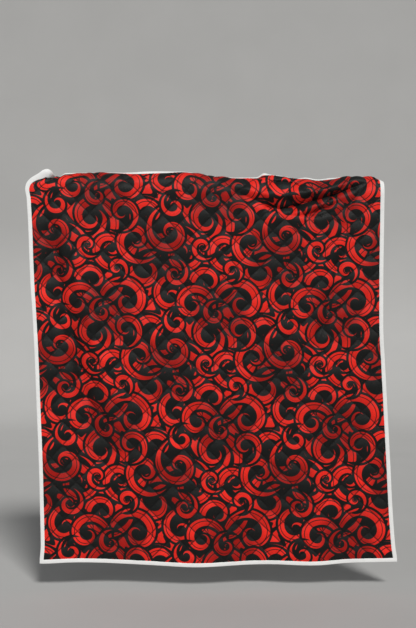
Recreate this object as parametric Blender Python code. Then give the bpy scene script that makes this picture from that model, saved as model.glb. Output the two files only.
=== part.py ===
"""A quilt that hangs from its top edge: a quilted panel and four binding strips.

Metres, +Z up. The printed face looks along -Y. The origin is the middle of the top edge,
on the crest of the cloth, where whatever carries the quilt would hold it.

Every point of the cloth has a flat place first: "across" from the left edge and "down" from
the top edge, as the quilt lies on a table. hang() says where that place is when it hangs.
"""

from collections import namedtuple
from math import cos, pi, radians, sin, sqrt

import bmesh
import bpy
from mathutils import Vector

# Driving dimensions of the flat quilt
WIDTH = 2.032
HEIGHT = 2.286
BINDING_WIDTH = 0.025
BINDING_CLOTH = 0.0012
EDGE_HALF_THICKNESS = 0.0012
CORNER_HALF_THICKNESS = 0.0005
CORNER_TRIM = 0.080
PANEL_INSET = 0.0028
SOLID_GAP = 0.0003
BINDING_CLEARANCE = 0.0006

# Quilting: seams run both ways at 45 degrees
SEAM_PITCH = 0.1394
SEAM_START_ACROSS = 0.003
SEAM_START_DOWN = 0.086
FRONT_PUFF = 0.0045
BACK_PUFF = 0.0025
PUFF_START = 0.0265
PUFF_FULL = 0.060

# The top edge curls back over what carries it
CURL_LENGTH = SEAM_START_DOWN + SEAM_PITCH / 2
MIDDLE_CURL_ANGLE = radians(100)
PLANE_BACK = CURL_LENGTH / MIDDLE_CURL_ANGLE

# The two side edges as they hang, at each drop below the crest
Side = namedtuple("Side", "drop left right")
SIDES = (
    Side(-0.05, -1.013, 1.010),
    Side(0.06, -1.011, 1.009),
    Side(0.28, -0.999, 1.005),
    Side(0.57, -0.988, 1.000),
    Side(0.85, -0.971, 0.999),
    Side(1.07, -0.960, 1.009),
    Side(1.30, -0.951, 1.021),
    Side(1.64, -0.937, 1.039),
    Side(1.86, -0.931, 1.050),
    Side(2.09, -0.926, 1.067),
    Side(2.18, -0.932, 1.078),
)

# The crest of the top edge: its height, and how far the cloth turns back at its end
Crest = namedtuple("Crest", "across height turn")
CRESTS = (
    Crest(0.00, 0.080, 10),
    Crest(0.06, 0.075, 36),
    Crest(0.12, 0.045, 60),
    Crest(0.20, 0.000, 62),
    Crest(0.29, 0.006, 86),
    Crest(0.37, 0.010, 100),
    Crest(0.50, 0.008, 90),
    Crest(0.59, 0.010, 62),
    Crest(0.69, 0.015, 42),
    Crest(0.79, 0.017, 62),
    Crest(0.87, 0.018, 88),
    Crest(0.97, 0.008, 100),
    Crest(1.10, -0.009, 101),
    Crest(1.19, -0.015, 86),
    Crest(1.31, -0.015, 76),
    Crest(1.352, 0.006, 56),
    Crest(1.40, -0.008, 88),
    Crest(1.47, -0.012, 97),
    Crest(1.54, -0.025, 88),
    Crest(1.59, -0.016, 76),
    Crest(1.66, -0.027, 70),
    Crest(1.73, -0.018, 78),
    Crest(1.80, -0.013, 90),
    Crest(1.90, -0.006, 90),
    Crest(WIDTH, -0.006, 62),
)

# The bottom hem: its drop below the crest
Hem = namedtuple("Hem", "across drop")
HEMS = (
    Hem(0.00, 2.184),
    Hem(0.16, 2.179),
    Hem(0.47, 2.190),
    Hem(0.73, 2.201),
    Hem(0.87, 2.212),
    Hem(1.02, 2.207),
    Hem(1.22, 2.196),
    Hem(1.38, 2.190),
    Hem(1.57, 2.203),
    Hem(1.74, 2.186),
    Hem(1.87, 2.179),
    Hem(WIDTH, 2.173),
)

# Main folds, each a line of points on the flat quilt. Depth is towards the viewer, and a
# trough's depth is below zero.
FoldPoint = namedtuple("FoldPoint", "fold across down depth width")
FOLD_POINTS = (
    FoldPoint("left trough", 0.213, 0.576, -0.010, 0.050),
    FoldPoint("left trough", 0.324, 1.068, -0.016, 0.055),
    FoldPoint("left trough", 0.369, 1.354, -0.014, 0.055),
    FoldPoint("left trough", 0.533, 1.594, -0.006, 0.070),
    FoldPoint("swag", 1.380, 0.150, 0.010, 0.040),
    FoldPoint("swag", 1.550, 0.205, 0.026, 0.042),
    FoldPoint("swag", 1.664, 0.199, 0.026, 0.040),
    FoldPoint("swag", 1.805, 0.137, 0.012, 0.034),
    FoldPoint("under the swag", 1.267, 0.199, -0.012, 0.034),
    FoldPoint("under the swag", 1.465, 0.285, -0.024, 0.036),
    FoldPoint("under the swag", 1.618, 0.296, -0.024, 0.036),
    FoldPoint("under the swag", 1.720, 0.256, -0.022, 0.034),
    FoldPoint("under the swag", 1.840, 0.176, -0.016, 0.028),
    FoldPoint("right crease", 1.885, 0.096, -0.010, 0.024),
    FoldPoint("right crease", 1.806, 0.330, -0.008, 0.028),
    FoldPoint("left gather", 0.150, 0.350, -0.007, 0.020),
    FoldPoint("left gather", 0.175, 0.590, -0.007, 0.020),
    FoldPoint("middle trough", 0.900, 1.450, -0.007, 0.060),
    FoldPoint("middle trough", 0.960, 1.720, -0.007, 0.060),
)

# Broad waves of the hanging cloth
Wave = namedtuple("Wave", "depth length slant start")
WAVES = (
    Wave(0.009, 0.96, 0.10, 0.10),
    Wave(0.005, 0.47, 0.25, 0.55),
)
WAVE_START = 0.05
WAVE_FULL = 0.60
HEM_WAVE_DEPTH = 0.014
HEM_WAVE_LENGTH = 0.68
HEM_WAVE_START = 1.35

# Top left corner: the cloth is pulled round a place on the left edge, so its tip points up
TWIST_DOWN = 0.140
TWIST_ANGLE = radians(50)
TWIST_FULL = 0.050
TWIST_REACH = 0.220

# Top right corner: the tip curls back on a diagonal
TIP_REACH = 0.075
TIP_RADIUS = 0.050

# Spacing of the solids' points, all on the quilting's own squares
HALF_PITCH = SEAM_PITCH / 2
FINE_STEP = HALF_PITCH / 2
SWAG_STEP = HALF_PITCH / 3
CURL_STEP = HALF_PITCH / 4
LEAST_STEP = 0.4
SWAG_LEFT = 1.12
SWAG_RIGHT = 1.97
SWAG_DOWN = 0.36


def smooth_step(low, high, value):
    """0 below low, 1 above high, and an even S between them."""
    part = min(max((value - low) / (high - low), 0.0), 1.0)
    return part * part * (3 - 2 * part)


class TableCurve:
    """A smooth curve through one column of a table, without overshoot between its rows."""

    def __init__(self, rows, key, column):
        self.places = [getattr(row, key) for row in rows]
        self.values = [getattr(row, column) for row in rows]
        self.slopes = [self.slope(index) for index in range(len(rows))]

    def rise(self, index):
        span = self.places[index + 1] - self.places[index]
        return (self.values[index + 1] - self.values[index]) / span

    def slope(self, index):
        if index in (0, len(self.places) - 1):
            return 0.0
        before, after = self.rise(index - 1), self.rise(index)
        if before * after <= 0:
            return 0.0
        return 2 * before * after / (before + after)

    def at(self, place):
        if place <= self.places[0]:
            return self.values[0]
        if place >= self.places[-1]:
            return self.values[-1]
        index = max(i for i, start in enumerate(self.places) if start <= place)
        span = self.places[index + 1] - self.places[index]
        t = (place - self.places[index]) / span
        s = 1 - t
        ends = self.values[index] * s * s * (1 + 2 * t) + self.values[index + 1] * t * t * (1 + 2 * s)
        bends = self.slopes[index] * t * s * s - self.slopes[index + 1] * t * t * s
        return ends + bends * span


left_edge = TableCurve(SIDES, "drop", "left")
right_edge = TableCurve(SIDES, "drop", "right")
crest_height = TableCurve(CRESTS, "across", "height")
crest_turn = TableCurve(CRESTS, "across", "turn")
hem_drop = TableCurve(HEMS, "across", "drop")


def fold_depth(first, second, across, down):
    """How far the stretch of fold between two points lifts a flat place."""
    run = Vector((second.across - first.across, second.down - first.down))
    away = Vector((across - first.across, down - first.down))
    part = min(max(away.dot(run) / run.length_squared, 0.0), 1.0)
    depth = first.depth + (second.depth - first.depth) * part
    width = first.width + (second.width - first.width) * part
    distance = (away - run * part).length / width
    return depth / (1 + distance * distance) ** 2


def fold_relief(across, down):
    """How far all folds lift a flat place. Of each fold, the stretch that lifts it most counts."""
    deepest = {}
    for first, second in zip(FOLD_POINTS, FOLD_POINTS[1:]):
        if first.fold == second.fold:
            depth = fold_depth(first, second, across, down)
            deepest[first.fold] = max(depth, deepest.get(first.fold, 0.0), key=abs)
    return sum(deepest.values())


def relief(across, down):
    """How far the cloth stands towards the viewer from its hanging plane."""
    height = fold_relief(across, down)
    for wave in WAVES:
        turn = across / wave.length + down * wave.slant + wave.start
        height += wave.depth * sin(2 * pi * turn) * smooth_step(WAVE_START, WAVE_FULL, down)
    hem_turn = across / HEM_WAVE_LENGTH
    low = smooth_step(HEM_WAVE_START, HEIGHT, down)
    return height + HEM_WAVE_DEPTH * sin(2 * pi * hem_turn) * low


def drape(across, down):
    """The hanging place before its two top corners are pulled about."""
    turn_end = radians(crest_turn.at(across))
    radius = CURL_LENGTH / turn_end
    crest = crest_height.at(across)
    start = crest - radius * sin(min(turn_end, pi / 2))
    if down < CURL_LENGTH:
        turn = (CURL_LENGTH - down) / radius
        height = start + radius * sin(turn)
        back = radius * (1 - cos(turn))
    else:
        part = (down - CURL_LENGTH) / (HEIGHT - CURL_LENGTH)
        height = start + (-hem_drop.at(across) - start) * part
        back = 0.0
    left, right = left_edge.at(-height), right_edge.at(-height)
    x = left + (right - left) * across / WIDTH
    return Vector((x, back - PLANE_BACK - relief(across, down), height))


def surface_normal(place, across, down):
    """The direction that faces the viewer at a flat place, on the surface that place() gives."""
    step = 0.001
    along = place(across + step, down) - place(across - step, down)
    below = place(across, down + step) - place(across, down - step)
    return below.cross(along).normalized()


def curl_tip(across, down):
    """Roll the top right tip back round a diagonal line."""
    from_tip = ((WIDTH - across) + down) / sqrt(2)
    rolled = TIP_REACH - from_tip
    if rolled <= 0:
        return drape(across, down)
    turn = rolled / TIP_RADIUS
    inward = (rolled - TIP_RADIUS * sin(turn)) / sqrt(2)
    across_in, down_in = across - inward, down + inward
    normal = surface_normal(drape, across_in, down_in)
    return drape(across_in, down_in) - normal * TIP_RADIUS * (1 - cos(turn))


def hang(across, down):
    """Where a place on the flat quilt is when it hangs."""
    point = curl_tip(across, down)
    from_corner = sqrt(across * across + down * down)
    if from_corner >= TWIST_REACH:
        return point
    pivot = drape(0.0, TWIST_DOWN)
    angle = TWIST_ANGLE * (1 - smooth_step(TWIST_FULL, TWIST_REACH, from_corner))
    side, up = point.x - pivot.x, point.z - pivot.z
    point.x = pivot.x + side * cos(angle) + up * sin(angle)
    point.z = pivot.z - side * sin(angle) + up * cos(angle)
    return point


def hang_off(across, down, off):
    """A hanging place, moved off the cloth's middle surface towards the viewer."""
    return hang(across, down) + surface_normal(hang, across, down) * off


def seam_distance(across, down):
    """How far a flat place is from the nearest seam, as a part of half a diamond."""
    falling = (down - across - SEAM_START_DOWN + SEAM_START_ACROSS) / SEAM_PITCH
    rising = (down + across - SEAM_START_DOWN - SEAM_START_ACROSS) / SEAM_PITCH
    return 2 * min(abs(falling - round(falling)), abs(rising - round(rising)))


def puff(across, down):
    """The filling's rise between seams, from 0 at a seam and under the binding to 1."""
    edge = min(across, down, WIDTH - across, HEIGHT - down)
    return sqrt(seam_distance(across, down)) * smooth_step(PUFF_START, PUFF_FULL, edge)


def half_thickness(across, down):
    """Half the panel's thickness at a seam. The filling is trimmed thin in the corners."""
    to_corner = sqrt(min(across, WIDTH - across) ** 2 + min(down, HEIGHT - down) ** 2)
    trim = smooth_step(0.0, CORNER_TRIM, to_corner)
    return CORNER_HALF_THICKNESS + (EDGE_HALF_THICKNESS - CORNER_HALF_THICKNESS) * trim


def places_between(first, low, high, step):
    """Places that lie a whole number of steps from first, with low and high at the ends."""
    above = int((high - first) / step) + 1
    below = int((first - low) / step) + 1
    steps = [first + step * index for index in range(-below, above + 1)]
    spare = LEAST_STEP * step
    return [low] + [place for place in steps if low + spare < place < high - spare] + [high]


def side_stations():
    """Where the points down a side edge are: close together in the curl."""
    curl = places_between(SEAM_START_DOWN, PUFF_START, CURL_LENGTH, CURL_STEP)
    return curl[:-1] + places_between(SEAM_START_DOWN, CURL_LENGTH, HEIGHT - PUFF_START, HALF_PITCH)


def end_stations():
    """Where the points along the top and bottom edges are."""
    return places_between(SEAM_START_ACROSS, PUFF_START, WIDTH - PUFF_START, FINE_STEP)


def cut_lines(grid, axis, places, keep):
    """Cut the flat grid across one axis at each place, in the faces that keep() chooses."""
    normal = Vector((1, 0, 0)) if axis == 0 else Vector((0, 1, 0))
    for place in places:
        faces = [face for face in grid.faces if keep(face.calc_center_median())]
        edges = {edge for face in faces for edge in face.edges}
        points = {vert for face in faces for vert in face.verts}
        geometry = list(points) + list(edges) + faces
        bmesh.ops.bisect_plane(grid, geom=geometry, dist=1e-5, plane_co=normal * place, plane_no=normal)


def trim_grid(grid, margin):
    """Keep only the part of the flat grid that is further than margin from the outer edges."""
    sides = (
        (Vector((margin, 0, 0)), Vector((-1, 0, 0))),
        (Vector((WIDTH - margin, 0, 0)), Vector((1, 0, 0))),
        (Vector((0, margin, 0)), Vector((0, -1, 0))),
        (Vector((0, HEIGHT - margin, 0)), Vector((0, 1, 0))),
    )
    for place, outward in sides:
        geometry = grid.verts[:] + grid.edges[:] + grid.faces[:]
        bmesh.ops.bisect_plane(
            grid, geom=geometry, dist=1e-6, plane_co=place, plane_no=outward, clear_outer=True
        )


def seam_grid():
    """A flat grid of squares whose corners are seam crossings and diamond middles in turn."""
    columns = int(WIDTH / HALF_PITCH) + 4
    rows = int(HEIGHT / HALF_PITCH) + 4
    grid = bmesh.new()
    bmesh.ops.create_grid(grid, x_segments=columns, y_segments=rows, size=0.5)
    for vert in grid.verts:
        column = round((vert.co.x + 0.5) * columns) - 2
        row = round((vert.co.y + 0.5) * rows) - 3
        across = SEAM_START_ACROSS + column * HALF_PITCH
        vert.co = Vector((across, SEAM_START_DOWN + row * HALF_PITCH, 0))
    trim_grid(grid, PUFF_START)
    for face in list(grid.faces):
        crossings = [vert for vert in face.verts if seam_distance(vert.co.x, vert.co.y) < 0.01]
        if len(crossings) == 2:
            bmesh.ops.connect_verts(grid, verts=crossings)
    return grid


def add_margin(grid):
    """Extend the flat grid by one band of faces, out to the panel's cut edge."""
    border = [edge for edge in grid.edges if edge.is_boundary]
    extruded = bmesh.ops.extrude_edge_only(grid, edges=border)["geom"]
    for vert in extruded:
        if not isinstance(vert, bmesh.types.BMVert):
            continue
        for axis, length in ((0, WIDTH), (1, HEIGHT)):
            if abs(vert.co[axis] - PUFF_START) < 1e-5:
                vert.co[axis] = PANEL_INSET
            elif abs(vert.co[axis] - length + PUFF_START) < 1e-5:
                vert.co[axis] = length - PANEL_INSET


def in_curl(middle):
    return middle.y < CURL_LENGTH


def in_curl_or_hem(middle):
    return in_curl(middle) or middle.y > HEIGHT - PUFF_START - HALF_PITCH


def in_swag(middle):
    return SWAG_LEFT < middle.x < SWAG_RIGHT and CURL_LENGTH < middle.y < SWAG_DOWN


def flat_panel():
    """The flat grid of the panel, finer in the curl, at the hem and where the swag folds."""
    grid = seam_grid()
    cut_lines(grid, 1, side_stations(), in_curl)
    cut_lines(grid, 0, end_stations(), in_curl_or_hem)
    cut_lines(grid, 1, places_between(SEAM_START_DOWN, CURL_LENGTH, SWAG_DOWN, SWAG_STEP), in_swag)
    cut_lines(grid, 0, places_between(SEAM_START_ACROSS, SWAG_LEFT, SWAG_RIGHT, SWAG_STEP), in_swag)
    add_margin(grid)
    return grid


def build_panel():
    """The quilted layers: one filled solid, drawn in at every seam and thin under the binding."""
    grid = flat_panel()
    bmesh.ops.recalc_face_normals(grid, faces=grid.faces[:])
    extruded = bmesh.ops.extrude_face_region(grid, geom=grid.faces[:])["geom"]
    front = {item for item in extruded if isinstance(item, bmesh.types.BMVert)}
    for vert in grid.verts:
        across, down = vert.co.x, vert.co.y
        seam, rise = half_thickness(across, down), puff(across, down)
        if vert in front:
            vert.co = hang_off(across, down, seam + FRONT_PUFF * rise)
        else:
            vert.co = hang_off(across, down, -seam - BACK_PUFF * rise)
    bmesh.ops.triangulate(grid, faces=grid.faces[:])
    bmesh.ops.recalc_face_normals(grid, faces=grid.faces[:])
    return grid


def binding_section():
    """The strip's folded section, as pairs of points on its outside and its inside.

    A point is (distance in from the quilt's outer edge, height off the middle surface).
    """
    inner = EDGE_HALF_THICKNESS + BINDING_CLEARANCE
    outer = inner + BINDING_CLOTH
    bend = 0.6 * outer
    fold = BINDING_CLOTH
    return (
        ((BINDING_WIDTH, outer), (BINDING_WIDTH, inner)),
        ((bend, outer), (fold + bend, inner)),
        ((0.0, outer - bend), (fold, inner - bend / 2)),
        ((0.0, bend - outer), (fold, bend / 2 - inner)),
        ((bend, -outer), (fold + bend, -inner)),
        ((BINDING_WIDTH, -outer), (BINDING_WIDTH, -inner)),
    )


def build_strip(length, stations, place):
    """One binding strip: its section carried along an edge, with a mitre at each end."""
    half_gap = SOLID_GAP / sqrt(2)
    strip = bmesh.new()

    def add_point(station, inward, height):
        along = station
        if station == stations[0]:
            along = inward + half_gap
        elif station == stations[-1]:
            along = length - inward - half_gap
        return strip.verts.new(hang_off(*place(along, inward), height))

    loops = []
    for station in stations:
        pairs = [[add_point(station, *point) for point in pair] for pair in binding_section()]
        loops.append(pairs)
    for end in (loops[0], loops[-1]):
        for pair, following in zip(end, end[1:]):
            strip.faces.new((pair[0], pair[1], following[1], following[0]))
    for before, after in zip(loops, loops[1:]):
        outside = [pair[0] for pair in before], [pair[0] for pair in after]
        inside = [pair[1] for pair in before], [pair[1] for pair in after]
        for row, following in (outside, inside):
            for index in range(len(row) - 1):
                strip.faces.new((row[index], row[index + 1], following[index + 1], following[index]))
        for leg in (0, -1):
            strip.faces.new((before[leg][0], before[leg][1], after[leg][1], after[leg][0]))
    bmesh.ops.triangulate(strip, faces=strip.faces[:])
    bmesh.ops.recalc_face_normals(strip, faces=strip.faces[:])
    return strip


def make_material(name, colour, roughness):
    """A cloth material in one plain colour."""
    material = bpy.data.materials.new(name)
    material.use_nodes = True
    shader = material.node_tree.nodes["Principled BSDF"]
    shader.inputs["Base Color"].default_value = (*colour, 1)
    shader.inputs["Roughness"].default_value = roughness
    shader.inputs["Metallic"].default_value = 0.0
    return material


def add_object(collection, name, shape, material):
    """Put a finished mesh in the scene as a named object."""
    mesh = bpy.data.meshes.new(name)
    shape.to_mesh(mesh)
    shape.free()
    mesh.materials.append(material)
    item = bpy.data.objects.new(name, mesh)
    collection.objects.link(item)
    return item


def main():
    for item in list(bpy.data.objects):
        bpy.data.objects.remove(item, do_unlink=True)
    quilt = bpy.data.collections.new("quilt")
    bpy.context.scene.collection.children.link(quilt)
    printed = make_material("printed_cotton", (0.16, 0.010, 0.008), 0.85)
    white = make_material("white_binding_cotton", (0.70, 0.70, 0.69), 0.85)
    sides, ends = side_stations(), end_stations()
    strips = (
        ("binding_left", HEIGHT, sides, lambda along, inward: (inward, along)),
        ("binding_right", HEIGHT, sides, lambda along, inward: (WIDTH - inward, along)),
        ("binding_top", WIDTH, ends, lambda along, inward: (along, inward)),
        ("binding_bottom", WIDTH, ends, lambda along, inward: (along, HEIGHT - inward)),
    )
    add_object(quilt, "quilt_panel", build_panel(), printed)
    for name, length, stations, place in strips:
        add_object(quilt, name, build_strip(length, stations, place), white)


main()
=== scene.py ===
import math

import bmesh
import bpy
import numpy as np
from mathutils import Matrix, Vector


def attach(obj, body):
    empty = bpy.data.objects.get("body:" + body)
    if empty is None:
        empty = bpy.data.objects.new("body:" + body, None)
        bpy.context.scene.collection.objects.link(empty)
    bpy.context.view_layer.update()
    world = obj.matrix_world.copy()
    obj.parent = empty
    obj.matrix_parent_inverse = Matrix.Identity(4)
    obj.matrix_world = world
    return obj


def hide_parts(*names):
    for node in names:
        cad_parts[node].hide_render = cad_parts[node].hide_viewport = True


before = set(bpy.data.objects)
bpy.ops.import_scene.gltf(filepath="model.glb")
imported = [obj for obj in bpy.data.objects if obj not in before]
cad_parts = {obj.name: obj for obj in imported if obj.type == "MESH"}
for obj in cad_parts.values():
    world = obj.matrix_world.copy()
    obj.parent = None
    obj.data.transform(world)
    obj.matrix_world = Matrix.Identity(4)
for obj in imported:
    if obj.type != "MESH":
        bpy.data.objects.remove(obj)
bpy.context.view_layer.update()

# The quilt laid flat, in metres: "across" runs from its left edge and "down" from its top edge.
# These are the sizes that the solids have.
flatQuilt = {
    "width": 2.032,
    "height": 2.286,
    "bindingWidth": 0.025,
    "edgeHalfThickness": 0.0012,
    "cornerHalfThickness": 0.0005,
    "cornerTrim": 0.080,
    "cutInset": 0.0028,  # how far the panel's cut edge lies inside the binding
    "seamPitch": 0.1394,  # between seam crossings, along a row
    "seamStartAcross": 0.003,
    "seamStartDown": 0.086,
}

# How the cloth hangs. Each row of the tables is one place.
hanging = {
    # drop below the crest, left edge, right edge
    "sides": (
        (-0.05, -1.013, 1.010),
        (0.06, -1.011, 1.009),
        (0.28, -0.999, 1.005),
        (0.57, -0.988, 1.000),
        (0.85, -0.971, 0.999),
        (1.07, -0.960, 1.009),
        (1.30, -0.951, 1.021),
        (1.64, -0.937, 1.039),
        (1.86, -0.931, 1.050),
        (2.09, -0.926, 1.067),
        (2.18, -0.932, 1.078),
    ),
    # across, height of the crest, how many degrees the cloth turns back there
    "crests": (
        (0.00, 0.102, 5),
        (0.04, 0.100, 20),
        (0.09, 0.082, 90),
        (0.14, 0.050, 92),
        (0.20, 0.014, 66),
        (0.29, 0.017, 86),
        (0.37, 0.017, 100),
        (0.50, 0.018, 90),
        (0.59, 0.018, 62),
        (0.69, 0.021, 42),
        (0.79, 0.024, 62),
        (0.87, 0.024, 88),
        (0.97, 0.012, 100),
        (1.10, -0.007, 101),
        (1.19, -0.011, 86),
        (1.31, -0.009, 76),
        (1.352, 0.013, 56),
        (1.395, 0.006, 88),
        (1.47, -0.005, 97),
        (1.54, -0.016, 88),
        (1.59, -0.011, 72),
        (1.66, -0.022, 66),
        (1.73, -0.014, 66),
        (1.80, -0.009, 100),
        (1.86, -0.007, 116),
        (1.94, -0.009, 112),
        (2.032, -0.002, 70),
    ),
    # across, height where the cloth begins to turn back
    "starts": (
        (0.00, -0.075),
        (0.50, -0.088),
        (1.00, -0.098),
        (1.50, -0.116),
        (2.032, -0.112),
    ),
    # across, drop of the hem
    "hems": (
        (0.00, 2.191),
        (0.16, 2.184),
        (0.47, 2.198),
        (0.73, 2.206),
        (0.87, 2.209),
        (1.02, 2.207),
        (1.22, 2.204),
        (1.38, 2.200),
        (1.57, 2.201),
        (1.74, 2.191),
        (1.87, 2.187),
        (2.032, 2.183),
    ),
    # across, down, depth towards the viewer, width above, width below where that differs:
    # each fold is a line of such places, from left to right
    "folds": {
        "left trough": (
            (0.105, 0.210, -0.006, 0.046),
            (0.120, 0.400, -0.020, 0.052),
            (0.150, 0.641, -0.033, 0.058),
            (0.240, 1.090, -0.046, 0.068),
            (0.285, 1.362, -0.043, 0.068),
            (0.340, 1.594, -0.015, 0.070),
            (0.370, 1.749, -0.001, 0.070),
        ),
        "swag": (
            (1.190, 0.115, 0.004, 0.034, 0.028),
            (1.280, 0.138, 0.012, 0.040, 0.026),
            (1.360, 0.160, 0.020, 0.045, 0.025),
            (1.438, 0.168, 0.026, 0.048, 0.025),
            (1.506, 0.164, 0.026, 0.048, 0.024),
            (1.586, 0.148, 0.022, 0.044, 0.022),
            (1.666, 0.132, 0.018, 0.036, 0.020),
            (1.756, 0.112, 0.014, 0.028, 0.018),
            (1.836, 0.094, 0.009, 0.020, 0.016),
            (1.900, 0.080, 0.002, 0.018, 0.014),
        ),
        "under the swag": (
            (1.212, 0.156, -0.007, 0.020, 0.030),
            (1.292, 0.188, -0.017, 0.022, 0.032),
            (1.360, 0.218, -0.026, 0.022, 0.034),
            (1.438, 0.233, -0.031, 0.023, 0.034),
            (1.506, 0.226, -0.031, 0.023, 0.032),
            (1.576, 0.204, -0.027, 0.021, 0.027),
            (1.642, 0.184, -0.029, 0.020, 0.022),
            (1.722, 0.160, -0.033, 0.018, 0.020),
            (1.812, 0.138, -0.032, 0.017, 0.018),
            (1.870, 0.122, -0.022, 0.015, 0.016),
            (1.930, 0.104, -0.004, 0.012, 0.014),
        ),
        "beside the left trough": (
            (0.230, 0.420, 0.008, 0.050),
            (0.268, 0.640, 0.018, 0.056),
            (0.372, 1.065, 0.029, 0.066),
            (0.418, 1.352, 0.028, 0.066),
            (0.475, 1.577, 0.010, 0.070),
            (0.520, 1.752, 0.001, 0.070),
        ),
        "right trough": (
            (1.590, 1.138, -0.008, 0.040),
            (1.690, 0.898, -0.018, 0.036),
            (1.780, 0.541, -0.014, 0.032),
            (1.850, 0.375, -0.003, 0.030),
        ),
        "right crease": (
            (1.804, 0.328, -0.003, 0.018, 0.024),
            (1.848, 0.200, -0.008, 0.016, 0.022),
            (1.892, 0.142, -0.008, 0.016, 0.020),
            (1.938, 0.114, -0.003, 0.014, 0.016),
        ),
        "left gather": (
            (0.150, 0.374, -0.007, 0.020),
            (0.175, 0.624, -0.007, 0.020),
        ),
        "middle trough": (
            (0.900, 1.444, -0.007, 0.060),
            (0.960, 1.716, -0.007, 0.060),
        ),
    },
    # narrower creases, with the same columns
    "creases": {
        "second roll": (
            (1.470, 0.262, 0.001, 0.014, 0.012),
            (1.530, 0.262, 0.006, 0.015, 0.012),
            (1.586, 0.244, 0.010, 0.015, 0.012),
            (1.654, 0.222, 0.012, 0.014, 0.011),
            (1.734, 0.196, 0.006, 0.013, 0.010),
            (1.790, 0.180, 0.001, 0.012, 0.010),
        ),
        "under the second roll": (
            (1.552, 0.278, -0.003, 0.010, 0.018),
            (1.620, 0.258, -0.013, 0.011, 0.020),
            (1.666, 0.244, -0.016, 0.011, 0.020),
            (1.734, 0.218, -0.010, 0.011, 0.018),
            (1.790, 0.200, -0.001, 0.010, 0.016),
        ),
        "low crease": (
            (1.484, 0.275, -0.002, 0.010, 0.014),
            (1.586, 0.279, -0.008, 0.010, 0.016),
            (1.666, 0.283, -0.008, 0.010, 0.016),
            (1.758, 0.246, -0.002, 0.010, 0.014),
        ),
        "under the crest": (
            (1.340, 0.086, -0.001, 0.012, 0.012),
            (1.400, 0.090, -0.019, 0.015, 0.015),
            (1.472, 0.089, -0.023, 0.015, 0.015),
            (1.540, 0.092, -0.018, 0.015, 0.015),
            (1.600, 0.086, -0.001, 0.012, 0.012),
        ),
        "hanging pleat": (
            (1.330, 0.266, -0.001, 0.014, 0.014),
            (1.385, 0.213, -0.008, 0.014, 0.014),
            (1.410, 0.165, -0.003, 0.012, 0.012),
        ),
        "second pleat": (
            (1.438, 0.251, -0.001, 0.012, 0.012),
            (1.466, 0.214, -0.008, 0.012, 0.012),
            (1.484, 0.171, -0.002, 0.012, 0.012),
        ),
    },
    # depth, length, slant, start
    "waves": (
        (0.009, 0.96, 0.10, 0.10),
        (0.005, 0.47, 0.25, 0.55),
    ),
    "waveStart": 0.05,
    "waveFull": 0.60,
    "hemWaveDepth": 0.014,
    "hemWaveLength": 0.68,
    "hemWaveStart": 1.35,
    "curlLength": flatQuilt["seamStartDown"] + flatQuilt["seamPitch"] / 2,  # this much of the top curls back
    "middleTurn": math.radians(100),
    "twistDown": 0.140,  # the top left corner is pulled round this place on the left edge
    "twistAngle": math.radians(50),
    "twistFull": 0.050,
    "twistReach": 0.220,
    # the two top tips roll back on a diagonal: reach from the corner, radius
    "tips": {
        "left": (0.034, 0.015),
        "right": (0.075, 0.050),
    },
}
# how far in front of its crest the cloth hangs
hanging["planeForward"] = hanging["curlLength"] / hanging["middleTurn"]


def smoothStep(low, high, value):
    part = np.clip((value - low) / (high - low), 0, 1)
    return part * part * (3 - 2 * part)


def tableCurve(rows, column):
    # a smooth curve through one column of a table, which never swings past its rows
    places = np.array([row[0] for row in rows])
    values = np.array([row[column] for row in rows], float)
    rises = np.diff(values) / np.diff(places)
    slopes = np.zeros(len(rows))
    together = rises[:-1] * rises[1:] > 0
    before, after = rises[:-1][together], rises[1:][together]
    slopes[1:-1][together] = 2 * before * after / (before + after)

    def at(place):
        place = np.clip(place, places[0], places[-1])
        row = np.clip(np.searchsorted(places, place, side="right") - 1, 0, len(places) - 2)
        span = places[row + 1] - places[row]
        t = (place - places[row]) / span
        s = 1 - t
        ends = values[row] * s * s * (1 + 2 * t) + values[row + 1] * t * t * (1 + 2 * s)
        bends = slopes[row] * t * s * s - slopes[row + 1] * t * t * s
        return ends + bends * span

    return at


leftEdge = tableCurve(hanging["sides"], 1)
rightEdge = tableCurve(hanging["sides"], 2)
crestHeight = tableCurve(hanging["crests"], 1)
crestTurn = tableCurve(hanging["crests"], 2)
turnStart = tableCurve(hanging["starts"], 1)
hemDrop = tableCurve(hanging["hems"], 1)


def foldLift(rows, across, down):
    # of one fold, the stretch that lifts a place most counts
    most = np.zeros_like(across)
    for first, second in zip(rows, rows[1:]):
        runAcross, runDown = second[0] - first[0], second[1] - first[1]
        awayAcross, awayDown = across - first[0], down - first[1]
        length = runAcross**2 + runDown**2
        part = np.clip((awayAcross * runAcross + awayDown * runDown) / length, 0, 1)
        depth = first[2] + (second[2] - first[2]) * part
        above = first[3] + (second[3] - first[3]) * part
        under = first[-1] + (second[-1] - first[-1]) * part
        width = np.where(runAcross * awayDown > runDown * awayAcross, under, above)
        away = np.hypot(awayAcross - runAcross * part, awayDown - runDown * part) / width
        lift = depth / (1 + away * away) ** 2
        most = np.where(abs(lift) > abs(most), lift, most)
    return most


def relief(across, down):
    # how far the cloth stands towards the viewer from the plane in which it hangs
    height = np.zeros_like(across)
    for rows in (*hanging["folds"].values(), *hanging["creases"].values()):
        height += foldLift(rows, across, down)
    grown = smoothStep(hanging["waveStart"], hanging["waveFull"], down)
    for depth, length, slant, start in hanging["waves"]:
        turn = 2 * np.pi * (across / length + down * slant + start)
        height += depth * np.sin(turn) * grown
    low = smoothStep(hanging["hemWaveStart"], flatQuilt["height"], down)
    turn = 2 * np.pi * across / hanging["hemWaveLength"]
    return height + hanging["hemWaveDepth"] * np.sin(turn) * low


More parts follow.
